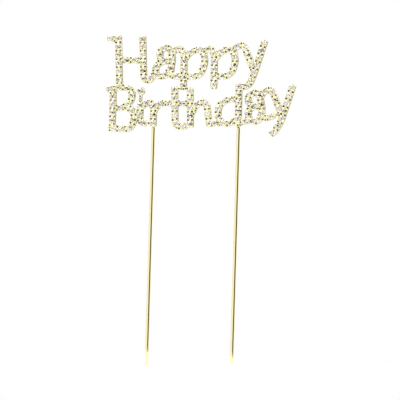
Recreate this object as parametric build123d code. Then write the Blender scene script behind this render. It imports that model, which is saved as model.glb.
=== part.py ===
from build123d import *
from math import acos, cos, pi, sin, tan
import os

# A cake topper: a two-line greeting in metal letters set with glass stones, on a pair of sticks.
# X runs right along the words, Z runs up and the letters face -Y. All sizes are in millimetres.
# The origin lies midway between the stick axes, level with the top of the cake.

# Sticks: round wire with a blunt point below and a flat tang above, which laps the letters' backs
STICK_D = 2.0
STICK_SPACING = 48.4
LEFT_REACH = 134.0
RIGHT_REACH = 132.2
CAKE_DEPTH = 90.0
POINT_LENGTH = 0.8
POINT_D = 1.1
TANG_W = 1.6
TANG_T = 1.1
TANG_LENGTH = 10.5

# Letter castings: a flat band with square sides
BAND_W = 3.8
BAND_T = 2.2
LINK_W = 1.7
DOT_D = 4.7
MAX_TURN = 9.0

# Stones: eight-sided, with a flat table, a sloping crown and a pointed pavilion in a matching seat
STONE_D = 3.2
TABLE_D = 1.8
CROWN_H = 0.5
PAVILION_H = 1.35
GIRDLE_RISE = 0.1
SEAT_DROP = 0.08
PITCH = 4.45
SIDES = 8

# Setting grains: a pair of raised points between each two stones
GRAIN_W = 0.9
GRAIN_H = 0.55
GRAIN_SPREAD = 2.3

# Solder: a bed round each tang and a spot behind each place where two letters meet
BED_W = 2.8
BED_LENGTH = 8.0
BED_T = 1.5
SPOT_D = 3.0
SPOT_T = 0.5

# Letter sizes, measured between centrelines
CAP_HEIGHT = 23.0
SMALL_HEIGHT = 15.0
D_HEIGHT = 12.8
I_HEIGHT = 11.2
I_FOOT = 3.9
DOT_RISE = 6.3
R_HEIGHT = 14.2
R_HOOK = 2.8
T_HEIGHT = 23.0
T_BAR = 6.3
TALL_HEIGHT = 22.2
D_TALL = 24.0
P_DROP = 7.5
Y_HEIGHT = 25.0
CAP_B_WIDTH = 12.0
CAP_H_WIDTH = 13.9
FIRST_A_WIDTH = 8.6
SECOND_A_WIDTH = 7.6
P_WIDTH = 11.4
Y_WIDTH = 15.6
ARCH_WIDTH = 11.1
D_WIDTH = 11.6
SERIF = 4.6
SERIF_DIP = 0.3
A_TAIL = 6.9
A_TAIL_RISE = 3.4
T_LEAN = -0.9
H_LEAN = -0.7
CAP_H_LEAN = -1.3
SECOND_A_LEAN = -2.2

# Letter places: steps along the two lines, and heights over the foot of the left stick's letter
B_TO_I = 15.8
I_TO_R = 7.5
R_TO_T = 12.6
T_TO_H = 8.7
D_TO_A = 6.2
A_TO_Y = 8.6
B_TO_CAP_H = 3.4
CAP_H_TO_A = 20.7
A_TO_P = 15.9
P_TO_P = 17.2
P_TO_Y = 12.8
B_DROP = 1.6
I_Z = 2.2
BAR_Z = 13.4
D_FOOT_Z = 1.2
D_BOWL_Z = 2.6
SECOND_A_Z = 4.8
SECOND_Y_Z = 0.4
CAP_H_Z = 26.0
FIRST_A_Z = 28.9
P_Z = 28.7
SECOND_P_RISE = 0.5
FIRST_Y_Z = 25.0

HALF = BAND_W / 2
STONE_R = STONE_D / 2
BESIDE = max(PITCH, HALF + STONE_R + 0.3)
TIGHT = HALF + 0.35
LEFT_X = -STICK_SPACING / 2
RIGHT_X = STICK_SPACING / 2
FOOT_Z = LEFT_REACH - CAKE_DEPTH


def shape(box, *marks):
    """Points of a letter from marks given as shares of its own width and height."""
    x, z, width, height, lean = box
    return [(x + u * width + v * lean, z + v * height) for u, v in marks]


def centreline(points, widest):
    """Straight runs through the points, with each corner turned on the widest arc its runs allow."""
    spots = [Vector(*p) for p in points]
    runs = [b - a for a, b in zip(spots, spots[1:])]
    if len(runs) == 1:
        return Wire([Edge.make_line(*spots)])
    radii = []
    for i, (before, after) in enumerate(zip(runs, runs[1:])):
        turn = acos(before.normalized().dot(after.normalized()))
        room_before = before.length * (0.95 if i == 0 else 0.49)
        room_after = after.length * (0.95 if i == len(runs) - 2 else 0.49)
        radii.append(min(widest, min(room_before, room_after) / tan(turn / 2)))
    return Wire(FilletPolyline(*spots, radius=radii).edges())


def stroke(points, lead=HALF, trail=HALF, turn=MAX_TURN, meets=()):
    """A band with stones from lead past its start to trail before its end, and its soldered ends."""
    path = centreline(points, turn)
    free = path.length - lead - trail
    steps = max(0, int(free / PITCH + 0.2))
    places = [lead + free * i / steps for i in range(steps + 1)] if steps else [lead + free / 2]
    return {"path": path, "width": BAND_W, "places": places, "meets": meets}


def bare(points):
    """A narrow link without stones."""
    return {"path": centreline(points, MAX_TURN), "width": LINK_W, "places": [], "meets": ()}


# Each letter is a list of strokes. One that meets a neighbour starts or ends inside the neighbour's band
# and is trimmed at its edge.


def capital_b(box):
    upper = shape(box, (-0.35, 0.945), (0.5, 1.02), (0.93, 0.93), (0.87, 0.65), (0.45, 0.51), (0, 0.5))
    lower = shape(box, (0.5, 0.53), (0.95, 0.48), (1.06, 0.24), (0.86, -0.01), (-0.17, 0))
    stem = shape(box, (0, 0.97), (0, 0))
    return [
        stroke(upper, HALF + 0.45, BESIDE),
        stroke(lower, 1.3 * BESIDE, HALF + 0.8),
        stroke(stem, BESIDE, BESIDE),
    ]


def small_i(box):
    stem = shape(box, (0, 1), (-0.05, 0), (1, -0.05))
    top = shape(box, (0, 1))[0]
    return [stroke(stem, turn=1.4 * HALF), bare([(top[0], top[1] + DOT_RISE), (top[0], top[1] - HALF)])]


def small_r(box, i_box, arm_end):
    start = shape(i_box, (0, 0.75))
    stem = start + shape(box, (-1, 1), (0.07, 0.77), (0, 0))
    arm = shape(box, (0.04, 0.6), (1.07, 0.94)) + [arm_end]
    link = [shape(i_box, (0.82, -0.03))[0], (box[0], box[1] + I_Z)]
    return [stroke(stem, BESIDE, meets=["start"]), stroke(arm, BESIDE), bare(link)]


def small_t(foot, r_arm, h_edge):
    x, z = foot
    stem = [(x + T_LEAN, z + T_HEIGHT), (x, z), (h_edge, z + 0.04 * T_HEIGHT)]
    bar = [r_arm, (x + T_LEAN / 2, r_arm[1])]
    return [stroke(stem, turn=3.2, meets=["end"]), stroke(bar, HALF, HALF + 0.8, meets=["start"])]


def small_h(box, t_bar):
    stem = shape(box, (0, 1), (0, 0))
    arch = shape(box, (0, 0.3), (0.33, 0.62), (0.82, 0.65), (1, 0.03))
    bar = [t_bar, (shape(box, (0, 0.6))[0][0], t_bar[1])]
    return [stroke(stem), stroke(arch, 1.7 * BESIDE), stroke(bar, BESIDE, BESIDE, meets=["start"])]


def small_d(box, h_foot):
    x = box[0] + box[2]
    stem = [(x - 0.2, FOOT_Z + D_FOOT_Z + D_TALL), (x, FOOT_Z + D_FOOT_Z)]
    bowl = shape(box, (1, 1.08), (0.4, 1.09), (0, 0.76), (0, 0.2), (0.33, -0.03), (1, 0.19))
    link = [h_foot, shape(box, (0.3, 0.05))[0]]
    return [
        stroke(stem, trail=BESIDE),
        stroke(bowl, BESIDE, BESIDE),
        stroke(link, BESIDE - 0.9, BESIDE, meets=["start"]),
    ]


def small_a(box, brow, foot, tail_end, bowl_ends, tail_meets=()):
    roof = shape(box, (0.42, 0.48), (brow, 0.74), (0.42, 1.06), (0.98, 0.98), (1.06, 0.55), (0.97, 0.12))
    bowl = shape(box, (1.04, 0.53), (0.35, 0.53), (-0.06, 0.3), (0.02, -0.04), (0.62, -0.04), (0.98, 0.25))
    tail = shape(box, (1.02, 0.45), (0.96, foot)) + [tail_end]
    return [
        stroke(roof, BESIDE, HALF + 0.5),
        stroke(bowl, *bowl_ends),
        stroke(tail, 2 * PITCH, HALF, TIGHT, tail_meets),
    ]


def small_p(box, shoulder, foot_z, last):
    flag = shape(box, (-0.3, 1.08), (0, 0.82))
    foot = [(box[0], foot_z)]
    bowl = shape(box, (0, 0.6), (0.28, 0.93), (0.84, 1.04), (1.07, 0.62), (0.84, 0), (0, -0.02))
    stem = stroke([shoulder] + flag + foot, BESIDE, last, meets=["start"])
    return [stem, stroke(bowl, 1.35 * PITCH, BESIDE)]


def small_y(box, shoulder, tail):
    flag = shape(box, (-0.02, 0.862), (0.237, 0.864), (0.625, 0.29))
    arm = shape(box, (1, 1), (0.6, 0.18))
    hook = stroke([shoulder] + flag, BESIDE, BESIDE + 0.4, meets=["start"])
    return [hook, stroke(arm + tail[0], **tail[1])]


def capital_h(box, b_top, a_bowl):
    rise = HALF / box[3]
    top = shape(box, (0, 1))[0]
    left = shape(box, (0, 1 + rise)) + [b_top]
    right = shape(box, (1, 1 + rise), (1, -0.15)) + [a_bowl]
    serif = [(top[0] - SERIF - HALF, top[1] - SERIF_DIP), (top[0], top[1] - SERIF_DIP)]
    bar = shape(box, (0, 0.475), (1, 0.475))
    return [
        stroke(left, trail=BESIDE, meets=["end"]),
        stroke(right, trail=BESIDE, turn=TIGHT, meets=["end"]),
        stroke(serif, trail=BESIDE),
        stroke(bar, BESIDE, BESIDE),
    ]


def lay_out():
    """Place all letters. Lower line first, from the left stick outwards, then the upper line over it."""
    r_box = (LEFT_X, FOOT_Z, R_HOOK, R_HEIGHT, 0)
    i_box = (LEFT_X - I_TO_R, FOOT_Z + I_Z, I_FOOT, I_HEIGHT, 0)
    b_box = (i_box[0] - B_TO_I, FOOT_Z - B_DROP, CAP_B_WIDTH, CAP_HEIGHT, 0)
    t_foot = (LEFT_X + R_TO_T, FOOT_Z)
    r_arm = (t_foot[0] - T_BAR, FOOT_Z + BAR_Z)
    t_bar = (t_foot[0] + T_LEAN / 2, r_arm[1])
    h_box = (t_foot[0] + T_TO_H, FOOT_Z, ARCH_WIDTH, TALL_HEIGHT, H_LEAN)
    h_foot = shape(h_box, (1, 0.115))[0]
    d_box = (RIGHT_X - D_WIDTH, FOOT_Z + D_BOWL_Z, D_WIDTH, D_HEIGHT, 0)
    d_top = (RIGHT_X - 0.2, FOOT_Z + D_FOOT_Z + D_TALL - HALF)
    a2_box = (RIGHT_X + D_TO_A, FOOT_Z + SECOND_A_Z, SECOND_A_WIDTH, SMALL_HEIGHT, SECOND_A_LEAN)
    a2_tail = shape(a2_box, (0.96, 0))[0]
    a2_tail = (a2_tail[0] + A_TAIL, a2_tail[1] + A_TAIL_RISE)
    y2_box = (a2_box[0] + A_TO_Y, FOOT_Z + SECOND_Y_Z, Y_WIDTH, Y_HEIGHT, 0)
    h_cap_box = (b_box[0] + B_TO_CAP_H, FOOT_Z + CAP_H_Z, CAP_H_WIDTH, CAP_HEIGHT, CAP_H_LEAN)
    a1_box = (h_cap_box[0] + CAP_H_TO_A, FOOT_Z + FIRST_A_Z, FIRST_A_WIDTH, SMALL_HEIGHT, 0)
    p1_box = (a1_box[0] + A_TO_P, FOOT_Z + P_Z, P_WIDTH, SMALL_HEIGHT, 0)
    p2_box = (p1_box[0] + P_TO_P, p1_box[1] + SECOND_P_RISE, P_WIDTH, SMALL_HEIGHT, 0)
    y1_box = (p2_box[0] + P_TO_Y, FOOT_Z + FIRST_Y_Z, Y_WIDTH, Y_HEIGHT, 0)
    a1_tail = (p1_box[0] - HALF + 0.1, p1_box[1])
    p1_foot = FOOT_Z + TALL_HEIGHT - 0.3
    p2_foot = p2_box[1] - P_DROP
    letters = {
        "letter_b": capital_b(b_box),
        "letter_i": small_i(i_box),
        "letter_r": small_r(r_box, i_box, r_arm),
        "letter_t": small_t(t_foot, r_arm, h_box[0] - HALF + 0.1),
        "letter_h": small_h(h_box, t_bar),
        "letter_d": small_d(d_box, h_foot),
        "letter_a_lower": small_a(a2_box, -0.04, 0.05, a2_tail, (1.15 * BESIDE, HALF + 1.3)),
        "letter_y_lower": small_y(
            y2_box,
            shape(a2_box, (1, 0.86))[0],
            (shape(y2_box, (0.37, -0.06), (0.212, -0.133)), {"trail": HALF + 0.55}),
        ),
        "letter_a_upper": small_a(a1_box, 0.15, -0.03, a1_tail, (BESIDE, BESIDE), ["end"]),
        "letter_h_capital": capital_h(h_cap_box, shape(b_box, (0.3, 1))[0], shape(a1_box, (0.03, 0.1))[0]),
        "letter_p_first": small_p(p1_box, shape(a1_box, (1, 0.83))[0], p1_foot, HALF),
        "letter_p_second": small_p(p2_box, shape(p1_box, (0.9, 0.85))[0], p2_foot, HALF + 0.7),
        "letter_y_upper": small_y(
            y1_box,
            shape(p2_box, (0.86, 0.9))[0],
            ([shape(y1_box, (0.44, -0.05))[0], d_top], {"trail": BESIDE, "meets": ["end"]}),
        ),
    }
    beside_bed = BED_W / 2 + SPOT_D / 2 - HALF
    foot_link = [(RIGHT_X + beside_bed, FOOT_Z + D_FOOT_Z + HALF + 0.6), shape(a2_box, (0.1, 0.03))[0]]
    lead = BESIDE - beside_bed - 0.4
    letters["letter_a_lower"].append(stroke(foot_link, lead, BESIDE - 0.4, meets=["start"]))
    letters["letter_y_lower"].append(bare([(a2_tail[0] - 0.5, a2_tail[1]), shape(y2_box, (0.66, 0.35))[0]]))
    tie_z = p1_foot - 0.3
    letters["letter_p_first"].append(bare([(t_foot[0] - 0.8, tie_z), (h_box[0] - 0.6, tie_z)]))
    dot = (i_box[0], i_box[1] + I_HEIGHT + DOT_RISE)
    return letters, dot


# Which letters trim which: each is cut back at the edges of the ones it meets
TRIMMED_BY = {
    "letter_b": [],
    "letter_i": ["letter_b"],
    "letter_r": ["letter_i"],
    "letter_t": ["letter_r"],
    "letter_h": ["letter_t"],
    "letter_d": ["letter_h"],
    "letter_a_lower": ["letter_d"],
    "letter_y_lower": ["letter_a_lower"],
    "letter_a_upper": [],
    "letter_h_capital": ["letter_b", "letter_a_upper"],
    "letter_p_first": ["letter_a_upper", "letter_t", "letter_h"],
    "letter_p_second": ["letter_p_first"],
    "letter_y_upper": ["letter_p_second", "letter_d"],
}


# Castings, worked out flat with the letters' backs at zero height and their faces upwards

FOOT = (Align.CENTER, Align.CENTER, Align.MIN)


def band(run):
    """The metal of a stroke: its section carried along its centreline."""
    path = run["path"]
    start = Plane(origin=path @ 0, x_dir=Vector(0, 0, 1).cross(path % 0), z_dir=path % 0)
    section = Rectangle(run["width"], BAND_T, align=(Align.CENTER, Align.MIN))
    return sweep(start * section, path=path)


def dot_disc(centre):
    """The round dot, as thick as the bands."""
    return Pos(*centre) * Cylinder(DOT_D / 2, BAND_T, align=FOOT)


def ring(across, height, sides):
    """Corners of a regular outline at one height, with a flat side across the stroke."""
    return [
        (across / 2 * cos(2 * pi * (i + 0.5) / sides), across / 2 * sin(2 * pi * (i + 0.5) / sides), height)
        for i in range(sides)
    ]


def stone():
    """A cut stone: table, crown and pavilion, with its girdle just clear of the metal."""
    girdle = BAND_T + GIRDLE_RISE
    table = ring(TABLE_D, girdle + CROWN_H, SIDES)
    return ConvexPolyhedron(table + ring(STONE_D, girdle, SIDES) + [(0, 0, girdle - PAVILION_H)])


def seat():
    """The pit for a stone: the pavilion's own slope, dropped by the thickness of the glue."""
    apex = BAND_T + GIRDLE_RISE - PAVILION_H - SEAT_DROP
    top = BAND_T + CROWN_H
    return ConvexPolyhedron(ring(STONE_D * (top - apex) / PAVILION_H, top, SIDES) + [(0, 0, apex)])


def grain():
    """A raised point of the setting, rooted a little below the face."""
    return ConvexPolyhedron(ring(GRAIN_W * 1.3, BAND_T - 0.1, 3) + [(0, 0, BAND_T + GRAIN_H)])


def spot_on(path, length):
    """A place on a stroke, turned to run along it."""
    at = path.position_at(length, position_mode=PositionMode.LENGTH)
    way = path.tangent_at(length, position_mode=PositionMode.LENGTH)
    return Plane(origin=at, x_dir=way, z_dir=(0, 0, 1)).location


def stone_spots(strokes):
    return [spot_on(run["path"], place) for run in strokes for place in run["places"]]


def grain_spots(strokes, stones):
    """Both sides of the middle between neighbouring stones, wherever no other stone is in the way."""
    clear = STONE_R + GRAIN_W * 0.9
    spots = []
    for run in strokes:
        for first, second in zip(run["places"], run["places"][1:]):
            middle = spot_on(run["path"], (first + second) / 2)
            for side in (-GRAIN_SPREAD / 2, GRAIN_SPREAD / 2):
                spot = middle * Pos(0, side, 0)
                if all((spot.position - s.position).length > clear for s in stones):
                    spots.append(spot)
    return spots


# Sticks and solder


def stick(x, shoulder, reach):
    """Round wire from its point to the shoulder under a letter, then the flat tang."""
    point = Cone(POINT_D / 2, STICK_D / 2, POINT_LENGTH, align=FOOT)
    wire = Pos(0, 0, POINT_LENGTH) * Cylinder(STICK_D / 2, reach - POINT_LENGTH, align=FOOT)
    tang = Pos(0, 0, reach) * Box(TANG_W, TANG_T, TANG_LENGTH, align=FOOT)
    return Pos(x, 0, shoulder - reach) * (point + wire + tang)


def solder_bed(x, shoulder, rod):
    """Solder run round a tang on the back of its letter."""
    half = BED_W / 2
    rim = (BED_W - TANG_W) / 2 - 0.1
    left = [(-half, half), (0, 0)]
    outline = left + [(half, half), (half, BED_LENGTH - half), (0, BED_LENGTH), (-half, BED_LENGTH - half)]
    crest = [(u * (1 - rim / half), rim + v * (1 - 2 * rim / BED_LENGTH)) for u, v in outline]
    mound = ConvexPolyhedron([(u, v, 0) for u, v in outline] + [(u, v, -BED_T) for u, v in crest])
    return FRONT * (Pos(x, shoulder + 0.4) * mound) - rod


def solder_spot(location):
    """A flat drop of solder behind two letters."""
    drop = ConvexPolyhedron(ring(SPOT_D, 0, 6) + ring(SPOT_D - 2 * SPOT_T, -SPOT_T, 6))
    return Pos(*location.position) * drop


def meeting_spots(strokes):
    places = []
    for run in strokes:
        for end in run["meets"]:
            places.append(spot_on(run["path"], HALF if end == "start" else run["path"].length - HALF))
    return places


FRONT = Plane(origin=(0, -TANG_T / 2, 0), x_dir=(1, 0, 0), z_dir=(0, -1, 0))


def build():
    letters, dot = lay_out()
    nodes = {}
    metal = {}
    for name, strokes in letters.items():
        metal[name] = Part() + [band(run) for run in strokes]
        if name == "letter_i":
            metal[name] = metal[name] + dot_disc(dot)
    gem, pit, point = stone(), seat(), grain()
    drops = []
    for name, strokes in letters.items():
        stones = stone_spots(strokes)
        grains = grain_spots(strokes, stones)
        if name == "letter_i":
            stones = stones + [Location(dot)]
        body = metal[name]
        if TRIMMED_BY[name]:
            body = body - [metal[other] for other in TRIMMED_BY[name]]
        body = body - [spot * pit for spot in stones]
        body = body + [spot * point for spot in grains]
        nodes[name] = FRONT * body
        gems = [FRONT * (spot * gem) for spot in stones]
        nodes[name.replace("letter", "stones")] = Compound(children=gems)
        drops += [FRONT * solder_spot(place) for place in meeting_spots(strokes)]
    left_z, right_z = FOOT_Z, FOOT_Z + D_FOOT_Z
    nodes["stick_left"] = stick(LEFT_X, left_z, LEFT_REACH)
    nodes["stick_right"] = stick(RIGHT_X, right_z, RIGHT_REACH)
    nodes["solder_bed_left"] = solder_bed(LEFT_X, left_z, nodes["stick_left"])
    nodes["solder_bed_right"] = solder_bed(RIGHT_X, right_z, nodes["stick_right"])
    nodes["solder_spots"] = Compound(children=drops)
    return nodes


os.makedirs("parts", exist_ok=True)
for name, node in build().items():
    export_step(node, f"parts/{name}.step")
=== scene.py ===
import math
import random

import bmesh
import bpy
from mathutils import Matrix, Quaternion, Vector, noise


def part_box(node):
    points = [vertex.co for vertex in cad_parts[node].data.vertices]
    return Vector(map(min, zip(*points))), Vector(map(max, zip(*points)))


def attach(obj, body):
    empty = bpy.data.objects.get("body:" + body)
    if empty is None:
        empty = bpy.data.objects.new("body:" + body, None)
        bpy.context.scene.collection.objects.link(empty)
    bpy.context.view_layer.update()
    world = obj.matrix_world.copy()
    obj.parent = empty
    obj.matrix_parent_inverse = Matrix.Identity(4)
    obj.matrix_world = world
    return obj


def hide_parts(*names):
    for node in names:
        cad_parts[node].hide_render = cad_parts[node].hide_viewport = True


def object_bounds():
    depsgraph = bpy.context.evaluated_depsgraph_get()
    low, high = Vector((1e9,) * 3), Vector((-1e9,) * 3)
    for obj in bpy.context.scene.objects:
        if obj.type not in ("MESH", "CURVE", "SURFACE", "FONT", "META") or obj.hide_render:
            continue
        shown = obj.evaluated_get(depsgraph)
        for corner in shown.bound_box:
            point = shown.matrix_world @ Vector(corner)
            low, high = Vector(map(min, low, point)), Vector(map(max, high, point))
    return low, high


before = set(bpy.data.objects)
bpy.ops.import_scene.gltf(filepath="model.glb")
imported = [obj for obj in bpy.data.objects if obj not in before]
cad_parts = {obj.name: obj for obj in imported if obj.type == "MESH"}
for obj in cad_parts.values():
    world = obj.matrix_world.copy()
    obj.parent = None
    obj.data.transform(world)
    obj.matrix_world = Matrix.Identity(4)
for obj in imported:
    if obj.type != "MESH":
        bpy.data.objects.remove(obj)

# A cake topper in plated metal letters set with foiled glass stones, on a pair of wire sticks.
# Everything is in metres in the frame's own axes: the letters face -Y and the sticks run along Z.

CAD_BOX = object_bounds()
MM = 0.001

# Limits for reading the frame
WELD = 0.002 * MM
FLAT = 0.01 * MM
FACING = 0.99
GRAIN_TOP = 0.02 * MM

# Letter plates
BAND_T = 2.2 * MM
EDGE_R = 0.15 * MM
EDGE_TURNS = tuple(math.radians(a) for a in (0, 30, 60, 90))
END_R = 1.0 * MM
END_STEPS = 6
LEAST_TURN, MOST_TURN = math.radians(50), math.radians(130)
FREE_REACH = 0.25 * MM
TOUCH = 0.01 * MM
RUN_OUT = 0.3 * MM
LEAST_MITRE = 0.7
SMOOTH_TURN = math.radians(40)
LIP_R = 0.1 * MM
SEAT_R = 1.6 * MM
SEAT_DEPTH = 1.5 * MM
SEAT_FOOT_R = 0.45 * MM
SEAT_SIDES = 24

# The plates' own materials, by number, and those of the strips round an edge from back to face
FACE, WALL, HOLLOW, REAR, COLLAR = range(5)
EDGE_STRIPS = (REAR, REAR, REAR, WALL, FACE, FACE, FACE)

# Bezels: a thin wall round each stone, burnished over its girdle. The outside steps in from the radius and
# the top steps out from the lip, each with its share of the height.
BEZEL_R = 1.74 * MM
LEAST_BEZEL = 1.66 * MM
BEZEL_H = 0.3 * MM
BEZEL_WALL = 0.24 * MM
CLAMP_R = 1.5 * MM
BEZEL_OUTSIDE = (0.0, 0.0), (0.02 * MM, 0.45), (0.11 * MM, 0.85)
BEZEL_TOP = (0.11 * MM, 1.0), (0.05 * MM, 0.97), (0.0, 0.87)
GIRDLE_ROOM = 0.02 * MM

# Setting grains, as round-topped beads that stand in small countersunk pits. A profile pairs a share of the
# pit's radius with a height over the face, and the pit's goes on up the foot of the bead; pit and foot are
# dark with painted shade.
PIT_R = 0.62 * MM
PIT_DEPTH = 0.22 * MM
GRAIN_H = 0.54 * MM
GRAIN_SIDES = 12
PIT_PROFILE = (
    (1.0, 0.0),
    (0.94, -0.5 * PIT_DEPTH),
    (0.84, -PIT_DEPTH),
    (0.36, -PIT_DEPTH),
    (0.32, 0.3 * GRAIN_H),
)
BEAD_PROFILE = (0.25, 0.65 * GRAIN_H), (0.14, 0.9 * GRAIN_H)
LEAST_GAP = 0.03 * MM

# More grains, smaller, at bends and ends
EXTRA_RADII = (0.5 * MM, 0.36 * MM)
EXTRA_SPACING = 1.3 * MM
EXTRA_STEP = 0.2 * MM

# Stones: a brilliant cut with a table, stars, kites and halves over a foiled pavilion
STONE_R = 1.6 * MM
TABLE_R = 0.92 * MM
STAR_R = 1.25 * MM
CROWN_H = 0.38 * MM
GIRDLE_H = 0.06 * MM
GIRDLE_RISE = 0.1 * MM
PAVILION_H = 1.45 * MM
LOWER_R = 0.56 * MM
# A painted dark reflection sits on the pavilion's point: how far it reaches up from the point, and the
# shares of stones whose point and whose kites carry it.
LEAST_TIP, MOST_TIP = 0.3, 1.0
DARK_POINT_SHARE, DARK_KITE_SHARE = 0.9, 0.06
MOST_TILT = math.radians(1.2)
MOST_LEAN = 0.3 * MM
SEED = 7

# Sticks
WIRE_R = 0.995 * MM
WIRE_SIDES = 48
TANG_W = 1.6 * MM
TANG_T = 1.1 * MM
TANG_CORNER = 0.4
TANG_BEVEL = 0.2 * MM
TANG_TOP = 0.8
FLARE = 0.4 * MM
FLARE_STEPS = 6
SUPPORT = 0.2 * MM
WIRE_STEPS = 8
WIRE_TURN = math.radians(50)
TIP_LENGTH = 1.0 * MM
TIP_STEPS = 6
TIP_TURN = math.radians(15)
TIP_FLAT = 0.35

# Solder
DROP_ROWS, DROP_COLUMNS = 7, 24
DROP_REACH, DROP_WAVE = 0.93, 0.07
DROP_STEP = 3.7

# Noise, in features to the metre, its stretch along drawn wire, and the ends of its ranges
COLOUR_GRAIN, DENT_GRAIN, POLISH_GRAIN, SKIN_GRAIN = 800, 1300, 1700, 7000
GLASS_GRAIN, FOIL_GRAIN = 900, 2500
DRAWN = 1, 1, 0.02
DEEP_PLACE, PALE_PLACE = 0.35, 0.6
GLASS_POLISH = 0.0, 0.03
FOIL_POLISH = 0.03, 0.09

# Camera, floor and light. A strip has an azimuth and a half width.
AZIMUTH = math.radians(10)
ROLL = math.radians(1.687)
DISTANCE = 2.0
PIXEL = 0.56 * MM
IMAGE_SIDE = 400
SENSOR = 36.0
CLIP_END = 10.0
AIM_RIGHT = 3.45 * MM
AIM_UP = 3.6 * MM
FRONT_STRIP = math.radians(54), math.radians(42)
BACK_STRIP = math.radians(205), math.radians(18)
STRIP_RISE = math.radians(9)
STRIP_SOFT = math.radians(4)
STRIP_COLOUR = 0.12, 0.085, 0.04
FLOOR_SIDE = 0.32
FLOOR_GAP = 0.2 * MM
FLOOR_COLOUR = 0.64, 0.64, 0.64, 1
LIGHT_AIM = 0, 0, 0.02
KEY_PLACE, KEY_SIZE, KEY_WATTS = (-0.5, -0.7, 0.9), 0.6, 14
FILL_PLACE, FILL_SIZE, FILL_WATTS = (0.8, -0.3, 0.6), 0.5, 5

LETTERS = sorted(n.removeprefix("letter_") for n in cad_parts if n.startswith("letter_"))
chance = random.Random(SEED)


# Reading the frame


def welded(node):
    """A CAD node's mesh with the corners of its faces joined up."""
    mesh = bmesh.new()
    mesh.from_mesh(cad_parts[node].data)
    bmesh.ops.remove_doubles(mesh, verts=mesh.verts, dist=WELD)
    return mesh


def islands(node):
    """The corners of each separate solid of a CAD node."""
    mesh = welded(node)
    seen = set()
    groups = []
    for start in mesh.verts:
        if start in seen:
            continue
        seen.add(start)
        group = [start]
        for vert in group:
            for edge in vert.link_edges:
                other = edge.other_vert(vert)
                if other not in seen:
                    seen.add(other)
                    group.append(other)
        groups.append([v.co.copy() for v in group])
    return groups


def middle(points):
    """The mean of some points."""
    return sum(points, Vector()) / len(points)


def outlines(letter):
    """Closed loops of (x, z) round the flat back of a letter, the metal always on the same hand."""
    mesh = welded("letter_" + letter)
    back = max(v.co.y for v in mesh.verts)
    flat = [f for f in mesh.faces if f.normal.y > FACING and abs(f.calc_center_median().y - back) < FLAT]
    known = set(flat)
    following = {}
    for face in flat:
        for corner in face.loops:
            if not any(f in known for f in corner.edge.link_faces if f is not face):
                following[corner.vert] = corner.link_loop_next.vert
    loops = []
    while following:
        start, here = following.popitem()
        loop = [start]
        while here is not start:
            loop.append(here)
            here = following.pop(here)
        loops.append([Vector((v.co.x, v.co.z)) for v in loop])
    return loops


# Letter plates


def sides(loop):
    """Each item of a closed loop with the one after it."""
    return zip(loop, loop[1:] + loop[:1])


def corners(loop):
    """Each item of a closed loop between the one before it and the one after it."""
    return zip(loop[-1:] + loop[:-1], loop, loop[1:] + loop[:1])


def away(point, loops):
    """Distance from a point to the nearest side of any loop."""
    nearest = math.inf
    for loop in loops:
        for a, b in sides(loop):
            share = (point - a).dot(b - a) / (b - a).length_squared
            foot = a + (b - a) * min(1.0, max(0.0, share))
            nearest = min(nearest, (point - foot).length)
    return nearest


def inside(point, loops):
    """Whether a point lies in the metal, by the count of sides to its right."""
    crossed = 0
    for a, b in (side for loop in loops for side in sides(loop)):
        if (a.y > point.y) != (b.y > point.y):
            crossed += point.x < a.x + (b.x - a.x) * (point.y - a.y) / (b.y - a.y)
    return crossed % 2 == 1


def rounded(loop, others):
    """The loop with free stroke ends turned on an arc. Corners at another letter stay square."""
    turned = []
    for before, here, after in corners(loop):
        first, second = here - before, after - here
        turn = first.angle(second)
        reach = END_R * math.tan(turn / 2)
        outward = first.x * second.y - first.y * second.x < 0
        square = outward and LEAST_TURN < turn < MOST_TURN
        if not square or min(first.length, second.length) < reach or away(here, others) < FREE_REACH:
            turned.append(here)
            continue
        first.normalize()
        start = here - first * reach
        centre = start + Vector((first.y, -first.x)) * END_R
        for step in range(END_STEPS + 1):
            turned.append(centre + Matrix.Rotation(-turn * step / END_STEPS, 2) @ (start - centre))
    return turned


def jointed(loop, others):
    """The loop with stops at the ends of soldered seams, and each point's share of the edge rounding."""
    runs = []
    for a, b in sides(loop):
        along = (b - a).normalized()
        stops = {0.0, (b - a).length}
        for point in (p for other in others for p in other):
            reach = (point - a).dot(along)
            if TOUCH < reach < (b - a).length - TOUCH and (a + along * reach - point).length < TOUCH:
                stops.add(reach)
        stops = [a + along * reach for reach in sorted(stops)]
        for start, end in zip(stops, stops[1:]):
            runs.append((start, end, away((start + end) / 2, others) < TOUCH))
    points = []
    for (_, _, before), (start, end, seam), (_, _, after) in corners(runs):
        points.append((start, 0.0 if seam or before else 1.0))
        along = (end - start).normalized() * RUN_OUT
        if not seam and before and (end - start).length > 2 * RUN_OUT:
            points.append((start + along, 1.0))
        if not seam and after and (end - start).length > 2 * RUN_OUT:
            points.append((end - along, 1.0))
    return points


def inset(points, by):
    """The points moved into the metal by one distance, square to their sides, and not at all at seams."""
    moved = []
    for (before, _), (here, share), (after, _) in corners(points):
        first = (here - before).normalized()
        second = (after - here).normalized()
        side = Vector((first.y, -first.x))
        both = (side + Vector((second.y, -second.x))).normalized()
        moved.append(here + both * (share * by / max(LEAST_MITRE, both.dot(side))))
    return moved


def ring(mesh, points, y):
    """New corners at the points' places, all at one depth."""
    return [mesh.verts.new((p.x, y, p.y)) for p in points]


def bridge(mesh, first, second, material=0):
    """A strip of smooth faces between two rings of the same count."""
    for (a, b), (c, d) in zip(sides(first), sides(second)):
        face = mesh.faces.new((a, b, d, c))
        face.smooth = True
        face.material_index = material


def cap(mesh, loop, point, material=0):
    """A smooth cone of faces from a ring to one point."""
    tip = mesh.verts.new(point)
    for a, b in sides(loop):
        face = mesh.faces.new((a, b, tip))
        face.smooth = True
        face.material_index = material


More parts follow.
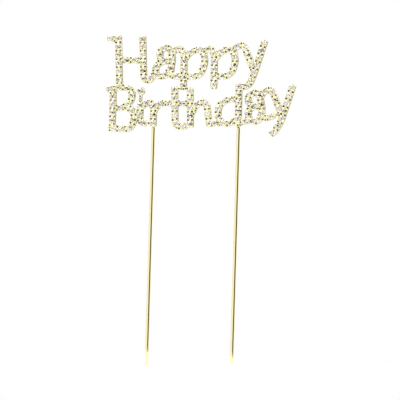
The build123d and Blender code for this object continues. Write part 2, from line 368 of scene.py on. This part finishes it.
def fill(mesh, rings, way, material=0):
    """A flat face between rings, holes left open."""
    edges = [mesh.edges.get(pair) for loop in rings for pair in sides(loop)]
    made = bmesh.ops.triangle_fill(mesh, use_beauty=True, edges=edges, normal=(0, way, 0))
    for face in made["geom"]:
        if isinstance(face, bmesh.types.BMFace):
            face.material_index = material


def rounding():
    """Steps round a quarter turn, as shares of the edge's radius: how far in, how far down."""
    return [(1 - math.sin(a), 1 - math.cos(a)) for a in EDGE_TURNS]


def circle(centre, radius, count):
    """Points of (x, z) round a centre in the frame."""
    steps = [2 * math.pi * i / count for i in range(count)]
    return [Vector((centre.x + radius * math.cos(a), centre.z + radius * math.sin(a))) for a in steps]


def seat_profile(radius):
    """Radius and height over the face, from the face into the seat, over a bezel where one has room."""
    if radius < LEAST_BEZEL:
        return [(radius - LIP_R * (1 - share), -LIP_R * down) for share, down in rounding()]
    outside = [(radius - step, share * BEZEL_H) for step, share in BEZEL_OUTSIDE]
    lip = min(CLAMP_R, radius - BEZEL_WALL)
    top = [(lip + step, share * BEZEL_H) for step, share in BEZEL_TOP]
    inner = STONE_R + GIRDLE_ROOM
    crown_foot = GIRDLE_RISE + GIRDLE_H / 2 + GIRDLE_ROOM
    under = [(inner, crown_foot), (inner, 0.5 * GIRDLE_RISE), (inner - LIP_R, -LIP_R)]
    return outside + top + under


def add_seat(mesh, centre, face, radius):
    """A tapered seat for one stone. Gives back its ring on the face."""
    profile = seat_profile(radius) + [(SEAT_FOOT_R, -SEAT_DEPTH)]
    rings = [ring(mesh, circle(centre, r, SEAT_SIDES), face - h) for r, h in profile]
    # The seat's strips take the bezel plating, darkened as painted shade.
    for first, second in zip(rings, rings[1:]):
        bridge(mesh, first, second, COLLAR)
    cap(mesh, rings[-1], (centre.x, face + SEAT_DEPTH, centre.z), COLLAR)
    return rings[0]


def add_grain(mesh, centre, face, radius):
    """A pit and the bead's foot, dark with painted shade, and a bright bead in it. Gives back the pit's
    ring on the face.
    """
    profile = PIT_PROFILE + BEAD_PROFILE
    rings = [ring(mesh, circle(centre, radius * r, GRAIN_SIDES), face - h) for r, h in profile]
    for number, (first, second) in enumerate(zip(rings, rings[1:])):
        # The pit's strips take the near-black plating, painted shade; the bead takes the letter plating.
        bridge(mesh, first, second, HOLLOW if number < len(PIT_PROFILE) else FACE)
    cap(mesh, rings[-1], (centre.x, face - GRAIN_H, centre.z))
    return rings[0]


def spare_places(edges, seats, grains, y):
    """Places for more grains along the edges, at bends and ends that are still bare."""
    found = []
    for radius in EXTRA_RADII:
        room = radius + LEAST_GAP
        for a, b in (side for loop in edges for side in sides(loop)):
            along = (b - a).normalized()
            inward = Vector((along.y, -along.x)) * room
            for step in range(1 + int((b - a).length / EXTRA_STEP)):
                place = a + along * (EXTRA_STEP * step) + inward
                beside = min((place - centre).length - reach for centre, reach in seats)
                near = min(((place - g.xz).length for g in grains + found), default=math.inf)
                if beside < room or near < EXTRA_SPACING:
                    continue
                if inside(place, edges) and away(place, edges) > radius:
                    found.append(Vector((place.x, y, place.y)))
    return found


def letter_plate(letter):
    """One letter: rounded edges, a seat for each stone, the CAD's grains and more at bare places."""
    cad = welded("letter_" + letter)
    back = max(v.co.y for v in cad.verts)
    front = min(v.co.y for v in cad.verts)
    face = back - BAND_T
    others = [loop for name in LETTERS if name != letter for loop in OUTLINES[name]]
    loops = [jointed(rounded(loop, others), others) for loop in OUTLINES[letter]]
    edges = [inset(loop, EDGE_R) for loop in loops]
    grains = [v.co.copy() for v in cad.verts if v.co.y < front + GRAIN_TOP]
    mesh = bmesh.new()
    backs, fronts = [], []
    for loop in loops:
        steps = [(EDGE_R * i, back - EDGE_R * d) for i, d in rounding()]
        steps += [(EDGE_R * i, face + EDGE_R * d) for i, d in reversed(rounding())]
        rings = [ring(mesh, inset(loop, by), y) for by, y in steps]
        # The wall strip takes the side plating, a dark copy of the letter plating that is painted shade.
        for first, second, material in zip(rings, rings[1:], EDGE_STRIPS):
            bridge(mesh, first, second, material)
        backs.append(rings[0])
        fronts.append(rings[-1])
    seats = []
    for group in islands("stones_" + letter):
        stone = middle(group)
        room = away(stone.xz, edges) - LEAST_GAP
        seats.append((stone.xz, min(BEZEL_R if room > LEAST_BEZEL else SEAT_R, room)))
        fronts.append(add_seat(mesh, stone, face, seats[-1][1]))
    grains += spare_places(edges, seats, grains, front)
    for grain in grains:
        near = min(((g - grain).length for g in grains if g is not grain), default=math.inf)
        beside = min((grain.xz - centre).length - radius for centre, radius in seats)
        room = min(away(grain.xz, edges), near / 2, beside) - LEAST_GAP
        fronts.append(add_grain(mesh, grain, face, min(PIT_R, room)))
    fill(mesh, backs, 1, REAR)
    fill(mesh, fronts, -1, FACE)
    materials = [METAL, SHADED_SIDE, PIT_SHADE, BACK, SHADED_RIM]
    return finished("plate_" + letter, mesh, ["letter_" + letter], materials)


def finished(name, mesh, nodes, materials, sharp=SMOOTH_TURN):
    """Turns a built mesh into a piece that stands for CAD nodes. Edges that turn past sharp stay crisp."""
    bmesh.ops.recalc_face_normals(mesh, faces=mesh.faces)
    for edge in mesh.edges:
        if len(edge.link_faces) == 2 and edge.calc_face_angle(0) > sharp:
            edge.smooth = False
    data = bpy.data.meshes.new(name)
    mesh.to_mesh(data)
    mesh.free()
    for material in materials:
        data.materials.append(material)
    piece = bpy.data.objects.new(name, data)
    bpy.context.scene.collection.objects.link(piece)
    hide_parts(*nodes)
    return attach(piece, "root")


# Stones


def add_gem(mesh, centre, girdle_y, tint_layer):
    """A brilliant with its table to the front, tipped a little as set by hand. The pavilion is foiled."""
    tilt = Quaternion((1, 0, 0), chance.uniform(-MOST_TILT, MOST_TILT))
    tilt @= Quaternion((0, 0, 1), chance.uniform(-MOST_TILT, MOST_TILT))
    spin = chance.uniform(0, math.pi / 4)
    tint = chance.random()
    dark_reach = chance.uniform(LEAST_TIP, MOST_TIP)
    lean_way, lean = chance.uniform(0, 2 * math.pi), MOST_LEAN * math.sqrt(chance.random())
    between = math.cos(math.pi / 8)
    rise = CROWN_H / (STONE_R - TABLE_R)
    fall = PAVILION_H / STONE_R
    half = GIRDLE_H / 2

    def point(radius, eighth, height):
        angle = spin + eighth * math.pi / 4
        share = max(0.0, -height - half) / PAVILION_H * lean
        x = radius * math.cos(angle) + share * math.cos(lean_way)
        z = radius * math.sin(angle) + share * math.sin(lean_way)
        local = Vector((x, -height, z))
        return mesh.verts.new(Vector((centre.x, girdle_y, centre.z)) + tilt @ local)

    table = [point(TABLE_R, k, half + CROWN_H) for k in range(8)]
    star = [point(STAR_R, k + 0.5, half + (STONE_R - STAR_R * between) * rise) for k in range(8)]
    upper = [point(STONE_R, k / 2, half) for k in range(16)]
    under = [point(STONE_R, k / 2, -half) for k in range(16)]
    lower = [point(LOWER_R, k + 0.5, -half - (STONE_R - LOWER_R * between) * fall) for k in range(8)]
    culet = point(0, 0, -half - PAVILION_H)
    rim = [mesh.verts.new(culet.co.lerp(v.co, dark_reach)) for v in lower]
    crown, foil, tip = [table], [], []
    for k in range(8):
        last, after = (k - 1) % 8, (k + 1) % 8
        g0, g1, g2 = 2 * k, 2 * k + 1, (2 * k + 2) % 16
        crown.append((table[k], table[after], star[k]))
        crown.append((table[k], star[k], upper[g0], star[last]))
        crown.append((star[k], upper[g1], upper[g0]))
        crown.append((star[k], upper[g2], upper[g1]))
        foil.append((upper[g0], upper[g1], under[g1], under[g0]))
        foil.append((upper[g1], upper[g2], under[g2], under[g1]))
        foil.append((lower[k], under[g0], under[g1]))
        foil.append((lower[k], under[g1], under[g2]))
        # Painted dark reflection on a few kites and on most points.
        kite = tip if chance.random() < DARK_KITE_SHARE else foil
        kite.append((rim[k], rim[last], lower[last], under[g0], lower[k]))
        point_facet = tip if chance.random() < DARK_POINT_SHARE else foil
        point_facet.append((culet, rim[last], rim[k]))
    for index, facets in enumerate((crown, foil, tip)):
        for facet in facets:
            face = mesh.faces.new(facet)
            face.material_index = index
            face[tint_layer] = tint


def letter_gems(letter):
    """All the stones of one letter."""
    face = max(v.co.y for v in welded("letter_" + letter).verts) - BAND_T
    mesh = bmesh.new()
    tint_layer = mesh.faces.layers.float.new("tint")
    for group in islands("stones_" + letter):
        add_gem(mesh, middle(group), face - GIRDLE_RISE, tint_layer)
    return finished("gems_" + letter, mesh, ["stones_" + letter], [GLASS, FOIL, PAINTED_DARK_TIP], sharp=0)


# Sticks and solder


def section(round_share, angle):
    """A point of the stick's section, from the flat tang at 0 to the round wire at 1."""
    c, s = math.cos(angle), math.sin(angle)
    flat_x = TANG_W / 2 * math.copysign(abs(c) ** TANG_CORNER, c)
    flat_y = TANG_T / 2 * math.copysign(abs(s) ** TANG_CORNER, s)
    x = flat_x + (WIRE_R * c - flat_x) * round_share
    y = flat_y + (WIRE_R * s - flat_y) * round_share
    return x, y


def stick(side):
    """Wire with a blunt rounded tip, beaten flat where it passes behind its letter.

    A level is a height, the section's share of round, and its size.
    """
    low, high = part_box("stick_" + side)
    x = (low.x + high.x) / 2
    letter = "letter_r" if side == "left" else "letter_d"
    shoulder = min(v.co.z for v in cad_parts[letter].data.vertices)
    levels = [(low.z, 1, TIP_FLAT)]
    for k in range(1, TIP_STEPS):
        turn = TIP_TURN * k
        levels.append((low.z + TIP_LENGTH * (1 - math.cos(turn)), 1, math.sin(turn + TIP_TURN)))
    start, end = low.z + TIP_LENGTH, shoulder - FLARE - SUPPORT
    for k in range(WIRE_STEPS + 1):
        levels.append((start + (end - start) * k / WIRE_STEPS, 1, 1))
    for k in range(FLARE_STEPS + 1):
        share = k / FLARE_STEPS
        levels.append((shoulder - FLARE + FLARE * share, 1 - share * share * (3 - 2 * share), 1))
    levels.append((high.z - TANG_BEVEL, 0, 1))
    levels.append((high.z, 0, TANG_TOP))
    mesh = bmesh.new()
    rings = []
    for z, round_share, size in levels:
        points = [section(round_share, 2 * math.pi * i / WIRE_SIDES) for i in range(WIRE_SIDES)]
        rings.append([mesh.verts.new((x + px * size, py * size, z)) for px, py in points])
    for first, second in zip(rings, rings[1:]):
        bridge(mesh, first, second)
    mesh.faces.new(rings[0])
    mesh.faces.new(rings[-1])
    return finished("wire_" + side, mesh, ["stick_" + side], [WIRE], WIRE_TURN)


def mound(mesh, centre, half_width, half_length, height, seed):
    """A run drop of solder on the letters' backs, with an uneven edge."""
    rings = []
    for r in range(1, DROP_ROWS + 1):
        turn = math.pi / 2 * r / DROP_ROWS
        loop = []
        for c in range(DROP_COLUMNS):
            angle = 2 * math.pi * c / DROP_COLUMNS
            wave = noise.noise(Vector((math.cos(angle), math.sin(angle), seed * DROP_STEP)))
            reach = math.sin(turn) * (DROP_REACH + DROP_WAVE * wave)
            place = Vector((half_width * math.cos(angle), 0, half_length * math.sin(angle))) * reach
            loop.append(mesh.verts.new(centre + place + Vector((0, height * math.cos(turn), 0))))
        rings.append(loop)
    for first, second in zip(rings, rings[1:]):
        bridge(mesh, first, second)
    cap(mesh, rings[0], (centre.x, centre.y + height, centre.z))
    mesh.faces.new(rings[-1])


def solder(name, nodes):
    """Rounded solder in place of the faceted CAD drops."""
    mesh = bmesh.new()
    seed = 0
    for node in nodes:
        for group in islands(node):
            low = Vector([min(p[i] for p in group) for i in range(3)])
            high = Vector([max(p[i] for p in group) for i in range(3)])
            size = high - low
            base = Vector(((low.x + high.x) / 2, low.y, (low.z + high.z) / 2))
            mound(mesh, base, size.x / 2, size.z / 2, size.y, seed)
            seed += 1
    return finished(name, mesh, nodes, [SOLDER])


OUTLINES = {letter: outlines(letter) for letter in LETTERS}


# Materials


class Nodes:
    """Short ways to add nodes to one tree."""

    def __init__(self, tree):
        self.tree = tree
        tree.nodes.clear()

    def add(self, kind, settings=None, **inputs):
        node = self.tree.nodes.new(kind)
        for key, value in (settings or {}).items():
            setattr(node, key, value)
        for key, value in inputs.items():
            self.put(node.inputs[key.replace("_", " ")], value)
        return node

    def put(self, socket, value):
        if isinstance(value, bpy.types.NodeSocket):
            self.tree.links.new(value, socket)
        else:
            socket.default_value = value

    def number(self, operation, *values):
        node = self.tree.nodes.new("ShaderNodeMath")
        node.operation = operation
        for socket, value in zip(node.inputs, values):
            self.put(socket, value)
        return node.outputs[0]

    def ramp(self, factor, *stops):
        node = self.tree.nodes.new("ShaderNodeValToRGB")
        self.put(node.inputs[0], factor)
        for element, (place, colour) in zip(node.color_ramp.elements, stops):
            element.position = place
            element.color = (*colour, 1)
        return node.outputs[0]

    def dot(self, first, second):
        node = self.tree.nodes.new("ShaderNodeVectorMath")
        node.operation = "DOT_PRODUCT"
        self.put(node.inputs[0], first)
        self.put(node.inputs[1], second)
        return node.outputs["Value"]

    def step(self, value, low, high):
        """A soft step from 0 at low to 1 at high, whichever is larger."""
        settings = {"interpolation_type": "SMOOTHSTEP"}
        return self.add("ShaderNodeMapRange", settings, Value=value, From_Min=low, From_Max=high).outputs[0]

    def between(self, value, low, high):
        return self.add("ShaderNodeMapRange", Value=value, To_Min=low, To_Max=high).outputs[0]

    def grain(self, scale, stretch=(1, 1, 1)):
        """Noise that stays with the object, in features to the metre."""
        places = self.add("ShaderNodeTexCoord").outputs["Object"]
        if stretch != (1, 1, 1):
            places = self.add("ShaderNodeMapping", Vector=places, Scale=stretch).outputs[0]
        return self.add("ShaderNodeTexNoise", Vector=places, Scale=scale, Detail=2.0).outputs["Fac"]

    def bump(self, height, depth, **more):
        return self.add("ShaderNodeBump", Height=height, Strength=1.0, Distance=depth, **more).outputs[0]


def new_material(name):
    """A material and the helper for its emptied node tree."""
    material = bpy.data.materials.new(name)
    material.use_nodes = True
    return material, Nodes(material.node_tree)


def plating(name, pale, deep, smooth, rough, dent, skin, stretch=(1, 1, 1)):
    """Gold plate: cloudy colour, uneven polish, shallow dents and the fine skin of the metal below."""
    material, nodes = new_material(name)
    dents = nodes.bump(nodes.grain(DENT_GRAIN, stretch), dent * MM)
    shader = nodes.add(
        "ShaderNodeBsdfPrincipled",
        Base_Color=nodes.ramp(nodes.grain(COLOUR_GRAIN), (DEEP_PLACE, deep), (PALE_PLACE, pale)),
        Metallic=1.0,
        Roughness=nodes.between(nodes.grain(POLISH_GRAIN, stretch), smooth, rough),
        Normal=nodes.bump(nodes.grain(SKIN_GRAIN, stretch), skin * MM, Normal=dents),
    )
    nodes.add("ShaderNodeOutputMaterial", Surface=shader.outputs[0])
    return material


def stone_glass():
    """Clear glass, each stone with a breath of its own tint."""
    material, nodes = new_material("stone_glass")
    tint = nodes.add("ShaderNodeAttribute", {"attribute_name": "tint"}).outputs["Fac"]
    shader = nodes.add(
        "ShaderNodeBsdfPrincipled",
        Base_Color=nodes.ramp(tint, (0.0, (0.99, 0.97, 1.0)), (1.0, (1.0, 1.0, 1.0))),
        Roughness=nodes.between(nodes.grain(GLASS_GRAIN), *GLASS_POLISH),
        IOR=1.54,
        Transmission_Weight=1.0,
    )
    nodes.add("ShaderNodeOutputMaterial", Surface=shader.outputs[0])
    return material


def stone_mirror(name, cool, clear):
    """The mirror behind each stone, and in dark colours the painted dark reflection at its point."""
    material, nodes = new_material(name)
    tint = nodes.add("ShaderNodeAttribute", {"attribute_name": "tint"}).outputs["Fac"]
    shader = nodes.add(
        "ShaderNodeBsdfPrincipled",
        Base_Color=nodes.ramp(tint, (0.0, cool), (1.0, clear)),
        Metallic=1.0,
        Roughness=nodes.between(nodes.grain(FOIL_GRAIN), *FOIL_POLISH),
    )
    nodes.add("ShaderNodeOutputMaterial", Surface=shader.outputs[0])
    return material


# Each plating: its pale and deep colours, its least and most roughness, its dents and skin in millimetres
METAL = plating("letter_plating", (0.98, 0.96, 0.63), (0.84, 0.81, 0.45), 0.08, 0.22, 0.1, 0.004)
# Painted shade: a darker copy of the letter plating on the bezels and in the seats, an olive ring round
# each stone.
SHADED_RIM = plating("bezel_plating_painted_shade", (0.78, 0.75, 0.46), (0.36, 0.33, 0.14), 0.08, 0.22, 0.05, 0.004)
# Painted shade: a dark copy of the letter plating for the plates' walls, in place of the shade on them.
SHADED_SIDE = plating("painted_shade_side", (0.36, 0.29, 0.12), (0.13, 0.105, 0.035), 0.25, 0.42, 0.06, 0.012)
BACK = plating("cast_back", (0.66, 0.58, 0.3), (0.5, 0.42, 0.18), 0.25, 0.42, 0.06, 0.012)
# Painted shade: near-black plating for the pits and the bead feet, where the grains' shade falls.
PIT_SHADE = plating("painted_pit_shade", (0.07, 0.062, 0.02), (0.025, 0.022, 0.007), 0.3, 0.5, 0.03, 0.01)
WIRE = plating("stick_plating", (0.99, 0.92, 0.53), (0.96, 0.87, 0.45), 0.02, 0.1, 0.01, 0.001, DRAWN)
SOLDER = plating("solder_plating", (0.82, 0.74, 0.4), (0.66, 0.57, 0.26), 0.24, 0.42, 0.15, 0.01)
GLASS = stone_glass()
FOIL = stone_mirror("stone_foil", (0.96, 0.91, 0.915), (0.99, 0.965, 0.92))
# Painted dark reflection: a near-black mirror for the stones' points, in place of the dark reflection at
# their centres.
PAINTED_DARK_TIP = stone_mirror("stone_painted_dark_centre", (0.015, 0.012, 0.01), (0.1, 0.085, 0.07))


# Stage


def studio_world():
    """A white room with two low dark strips, one for each face, which draw a line down the sticks."""
    world = bpy.data.worlds.new("studio")
    bpy.context.scene.world = world
    world.use_nodes = True
    nodes = Nodes(world.node_tree)
    way = nodes.add("ShaderNodeTexCoord").outputs["Generated"]
    height = nodes.number("ABSOLUTE", nodes.dot(way, (0, 0, 1)))
    level = nodes.step(height, math.sin(STRIP_RISE + STRIP_SOFT), math.sin(STRIP_RISE))
    across = []
    for azimuth, half in (FRONT_STRIP, BACK_STRIP):
        turned = nodes.dot(way, (math.sin(azimuth), -math.cos(azimuth), 0))
        across.append(nodes.step(turned, math.cos(half + STRIP_SOFT), math.cos(half)))
    dark = nodes.number("MULTIPLY", nodes.number("MAXIMUM", *across), level)
    seen = nodes.add("ShaderNodeLightPath").outputs["Is Camera Ray"]
    unseen = nodes.number("MULTIPLY", dark, nodes.number("SUBTRACT", 1.0, seen))
    colour = nodes.ramp(unseen, (0.0, (1, 1, 1)), (1.0, STRIP_COLOUR))
    shade = nodes.add("ShaderNodeBackground", Color=colour)
    nodes.add("ShaderNodeOutputWorld", Surface=shade.outputs[0])


def add_floor():
    """A plain pale floor just under the tips."""
    z = CAD_BOX[0].z - FLOOR_GAP
    half = FLOOR_SIDE / 2
    data = bpy.data.meshes.new("floor")
    places = [(-half, -half, z), (half, -half, z), (half, half, z), (-half, half, z)]
    data.from_pydata(places, [], [(0, 1, 2, 3)])
    material, nodes = new_material("floor_white")
    shader = nodes.add("ShaderNodeBsdfDiffuse", Color=FLOOR_COLOUR)
    nodes.add("ShaderNodeOutputMaterial", Surface=shader.outputs[0])
    data.materials.append(material)
    floor = bpy.data.objects.new("floor", data)
    bpy.context.scene.collection.objects.link(floor)


def add_light(name, place, size, watts):
    """A soft square lamp, turned to the letters."""
    data = bpy.data.lights.new(name, "AREA")
    data.size = size
    data.energy = watts
    light = bpy.data.objects.new(name, data)
    light.location = place
    light.rotation_euler = (Vector(LIGHT_AIM) - Vector(place)).to_track_quat("-Z", "Y").to_euler()
    bpy.context.scene.collection.objects.link(light)


def add_camera():
    """A long lens at the photo's angle, rolled as the photo is."""
    data = bpy.data.cameras.new("camera")
    data.sensor_width = SENSOR
    data.lens = SENSOR * DISTANCE / (PIXEL * IMAGE_SIDE)
    data.clip_end = CLIP_END
    camera = bpy.data.objects.new("camera", data)
    back = Vector((math.sin(AZIMUTH), -math.cos(AZIMUTH), 0))
    right = Vector((math.cos(AZIMUTH), math.sin(AZIMUTH), 0))
    camera.location = right * AIM_RIGHT + Vector((0, 0, AIM_UP)) + back * DISTANCE
    camera.rotation_mode = "QUATERNION"
    camera.rotation_quaternion = (-back).to_track_quat("-Z", "Y") @ Quaternion((0, 0, 1), ROLL)
    bpy.context.scene.collection.objects.link(camera)
    bpy.context.scene.camera = camera


for letter in LETTERS:
    letter_plate(letter)
    letter_gems(letter)
for side in ("left", "right"):
    stick(side)
    solder("bed_" + side, ["solder_bed_" + side])
solder("drops", ["solder_spots"])
studio_world()
add_floor()
add_light("key", KEY_PLACE, KEY_SIZE, KEY_WATTS)
add_light("fill", FILL_PLACE, FILL_SIZE, FILL_WATTS)
add_camera()
bpy.context.scene.view_settings.view_transform = "Standard"
